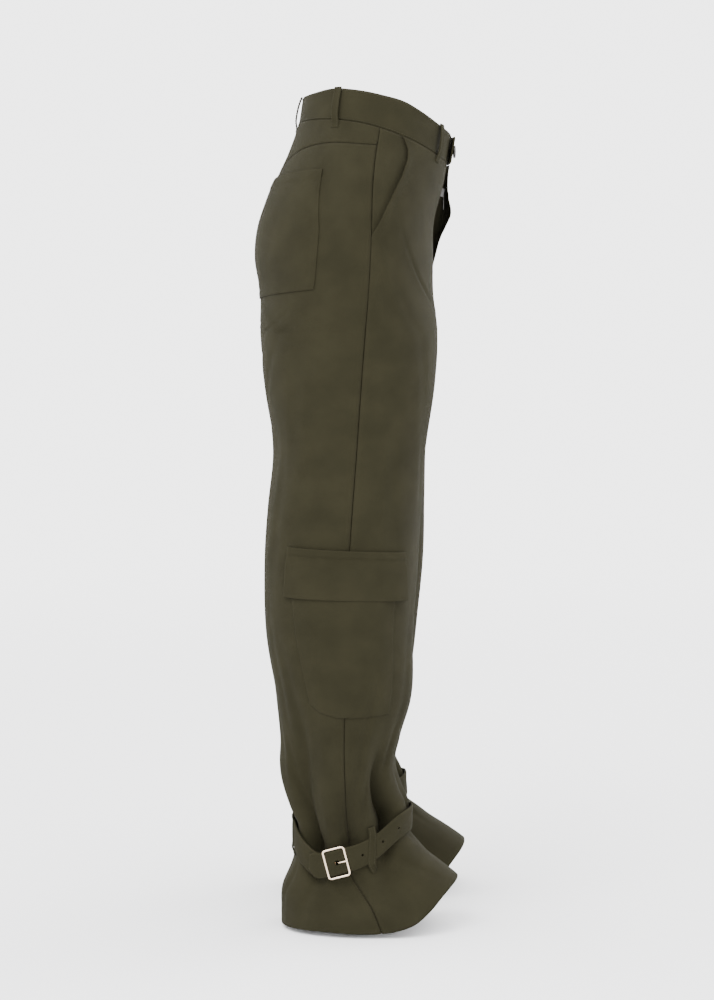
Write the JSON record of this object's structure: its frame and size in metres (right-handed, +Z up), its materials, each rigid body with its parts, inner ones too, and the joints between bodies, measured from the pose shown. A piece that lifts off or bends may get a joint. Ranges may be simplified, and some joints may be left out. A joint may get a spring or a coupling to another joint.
{
  "type": "cargo trousers",
  "caption": "Wide-leg high-waist cargo trousers with flap pockets and buckled ankle straps, held in their worn shape.",
  "frame": {"origin": "middle of the waist opening, 1.020 m above the floor that the hems reach", "axes": "+Z up out of the waist, -Y the garment's front, +X the wearer's left"},
  "size_m": [0.4122, 0.279, 1.0726],
  "materials": {
    "olive_twill": "matte dark olive cotton twill",
    "champagne_metal": "satin pale gold plating",
    "gunmetal": "dark polished metal",
    "zip_tape": "woven dark olive tape"
  },
  "bodies": {
    "trousers": {"front_right": "olive_twill", "front_left": "olive_twill", "back_right": "olive_twill", "back_left": "olive_twill", "pocket_facing_right": "olive_twill", "pocket_facing_left": "olive_twill", "yoke_right": "olive_twill", "yoke_left": "olive_twill", "back_pocket_right": "olive_twill", "back_pocket_left": "olive_twill", "cargo_pocket_right": "olive_twill", "cargo_pocket_left": "olive_twill", "cargo_flap_right": "olive_twill", "cargo_flap_left": "olive_twill", "ankle_strap_right": "olive_twill", "ankle_strap_left": "olive_twill", "strap_carrier_1_right": "olive_twill", "strap_carrier_1_left": "olive_twill", "strap_carrier_2_right": "olive_twill", "strap_carrier_2_left": "olive_twill", "waistband": "olive_twill", "belt_loop_front_right": "olive_twill", "belt_loop_front_left": "olive_twill", "belt_loop_back_right": "olive_twill", "belt_loop_back_left": "olive_twill", "belt_loop_centre_back": "olive_twill", "fly_shield": "olive_twill", "buckle_frame_right": "champagne_metal", "buckle_frame_left": "champagne_metal", "buckle_prong_right": "champagne_metal", "buckle_prong_left": "champagne_metal", "eyelet_1_right": "champagne_metal", "eyelet_1_left": "champagne_metal", "eyelet_2_right": "champagne_metal", "eyelet_2_left": "champagne_metal", "eyelet_3_right": "champagne_metal", "eyelet_3_left": "champagne_metal", "eyelet_4_right": "champagne_metal", "eyelet_4_left": "champagne_metal", "zip_slider": "champagne_metal", "zip_tape": "zip_tape", "waist_button": "gunmetal"},
    "pull": {"zip_pull": "champagne_metal"}
  },
  "joints": [
    {"name": "zip_pull_swing", "type": "hinge", "parent": "trousers", "child": "pull", "pos_m": [0.00304, -0.09265, -0.07368], "axis": [1, 0, 0], "range_deg": [-8, 22]}
  ]
}
